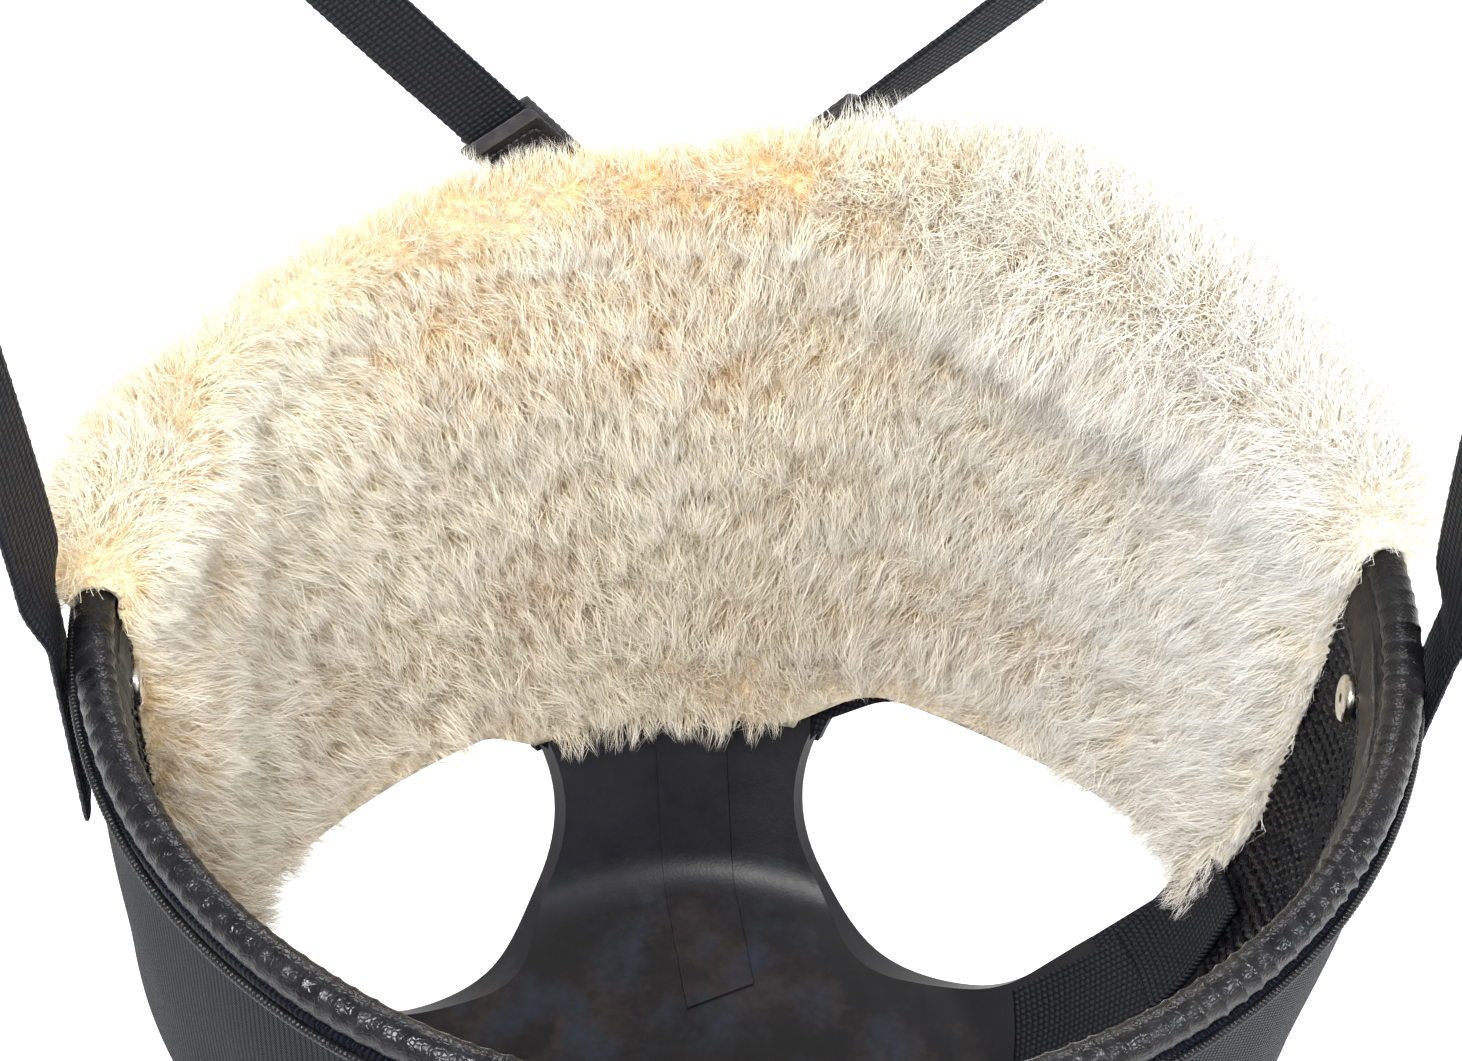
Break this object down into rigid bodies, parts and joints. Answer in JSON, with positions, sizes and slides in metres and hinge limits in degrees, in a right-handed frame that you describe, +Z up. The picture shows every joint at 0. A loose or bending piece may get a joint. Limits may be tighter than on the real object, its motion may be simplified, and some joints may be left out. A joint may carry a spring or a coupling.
{
  "type": "horse grazing muzzle",
  "caption": "Open basket that hangs under a horse's nose: woven wall, rubber base with nostril openings, sheepskin nose pad and webbing hangers with fold-over ends.",
  "frame": {"origin": "centre of the rubber base's flat underside", "axes": "+Z up out of the basket, +Y towards the front of the horse's nose, +X to the right seen from behind the basket"},
  "size_m": [0.3222, 0.2636, 0.3453],
  "materials": {
    "woven_nylon": "coarse woven",
    "foam": "closed-cell foam",
    "knit_lining": "glossy raised knit",
    "hide": "suede",
    "wool": "dense wool pile",
    "leather": "grained, polished",
    "rubber": "satin",
    "webbing": "woven webbing",
    "nickel": "nickel plated",
    "loop_tape": "soft loops",
    "hook_tape": "stiff hooks"
  },
  "bodies": {
    "muzzle": {"outer_shell": "woven_nylon", "wall_padding": "foam", "wall_lining": "knit_lining", "sheepskin_hide": "hide", "rim_core": "foam", "rim_leather": "leather", "rim_tape": "leather", "rim_facing": "leather", "rubber_base": "rubber", "centre_inlay": "rubber", "right_opening_binding": "webbing", "left_opening_binding": "webbing", "right_cheek_tie": "webbing", "left_cheek_tie": "webbing", "right_corner_patch": "webbing", "left_corner_patch": "webbing", "right_foot": "webbing", "right_rivet": "nickel", "right_rivet_washer": "nickel", "left_foot": "webbing", "left_rivet": "nickel", "left_rivet_washer": "nickel", "front_left_foot": "webbing", "front_left_sleeve": "leather", "front_right_foot": "webbing", "front_right_sleeve": "leather", "sheepskin_pile": "wool"},
    "right_hanger": {"right_strap": "webbing", "right_loop_patch": "loop_tape"},
    "right_tail": {"right_flap": "webbing", "right_hook_patch": "hook_tape"},
    "left_hanger": {"left_strap": "webbing", "left_loop_patch": "loop_tape"},
    "left_tail": {"left_flap": "webbing", "left_hook_patch": "hook_tape"},
    "front_left_hanger": {"front_left_strap": "webbing", "front_left_loop_patch": "loop_tape"},
    "front_left_tail": {"front_left_flap": "webbing", "front_left_hook_patch": "hook_tape"},
    "front_right_hanger": {"front_right_strap": "webbing", "front_right_loop_patch": "loop_tape"},
    "front_right_tail": {"front_right_flap": "webbing", "front_right_hook_patch": "hook_tape"}
  },
  "joints": [
    {"name": "right_hanger_flex", "type": "hinge", "parent": "muzzle", "child": "right_hanger", "pos_m": [0.1347, -0.018, 0.1927], "axis": [0.1847, -0.9824, 0.0296], "range_deg": [-95, 33]},
    {"name": "right_tail_flex", "type": "hinge", "parent": "right_hanger", "child": "right_tail", "pos_m": [0.12685, -0.01498, 0.34195], "axis": [0.1847, -0.9824, 0.0296], "range_deg": [0, 175]},
    {"name": "left_hanger_flex", "type": "hinge", "parent": "muzzle", "child": "left_hanger", "pos_m": [-0.13615, -0.002, 0.1927], "axis": [0.3232, 0.9457, 0.036], "range_deg": [-95, 40]},
    {"name": "left_tail_flex", "type": "hinge", "parent": "left_hanger", "child": "left_tail", "pos_m": [-0.15657, -0.00066, 0.34078], "axis": [0.3232, 0.9457, 0.036], "range_deg": [0, 175]},
    {"name": "front_left_hanger_flex", "type": "hinge", "parent": "muzzle", "child": "front_left_hanger", "pos_m": [-0.04718, 0.12354, 0.20157], "axis": [0.766, 0.0307, 0.6421], "range_deg": [-60, 45]},
    {"name": "front_left_tail_flex", "type": "hinge", "parent": "front_left_hanger", "child": "front_left_tail", "pos_m": [-0.15286, 0.13456, 0.32712], "axis": [0.766, 0.0307, 0.6421], "range_deg": [0, 175]},
    {"name": "front_right_hanger_flex", "type": "hinge", "parent": "muzzle", "child": "front_right_hanger", "pos_m": [0.03954, 0.12973, 0.19915], "axis": [0.61, 0.5011, -0.6138], "range_deg": [-60, 45]},
    {"name": "front_right_tail_flex", "type": "hinge", "parent": "front_right_hanger", "child": "front_right_tail", "pos_m": [0.15251, 0.14014, 0.31823], "axis": [0.676, 0.3104, -0.6684], "range_deg": [0, 175]}
  ]
}
